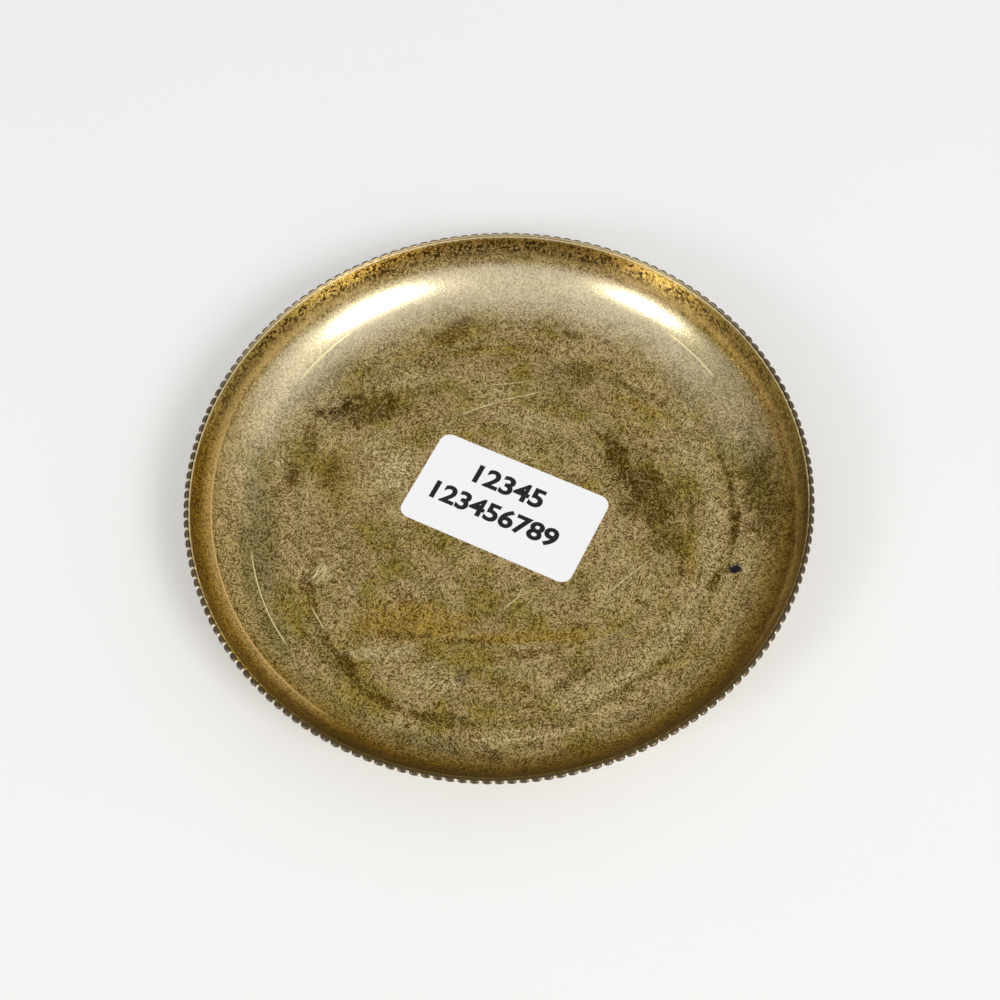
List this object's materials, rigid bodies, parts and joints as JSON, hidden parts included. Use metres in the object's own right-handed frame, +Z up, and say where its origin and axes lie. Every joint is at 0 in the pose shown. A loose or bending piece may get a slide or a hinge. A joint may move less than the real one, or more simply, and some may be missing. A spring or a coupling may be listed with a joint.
{
  "type": "trinket dish",
  "caption": "Round shallow metal trinket dish with a flat floor, a curved wall, a beaded wire border around its lip and a paper label stuck on its floor.",
  "frame": {"origin": "on the dish's axis, at the underside of its floor, where it rests on the table", "axes": "+Z up along the dish's axis, out of its mouth; +Y away from the camera of the picture, +X to its right"},
  "size_m": [0.1232, 0.1232, 0.0124],
  "materials": {
    "tarnished_plate": "worn and tarnished silver plate over a brass-like metal, satin, with brown and olive stains",
    "border_wire": "tarnished silver plate, satin, darker in the gaps between beads",
    "solder": "dull silver solder",
    "label_paper": "matt white gummed paper"
  },
  "bodies": {
    "root": {"dish_bowl": "tarnished_plate", "beaded_rim_wire": "border_wire", "rim_solder_seam": "solder", "paper_label": "label_paper"}
  },
  "joints": []
}
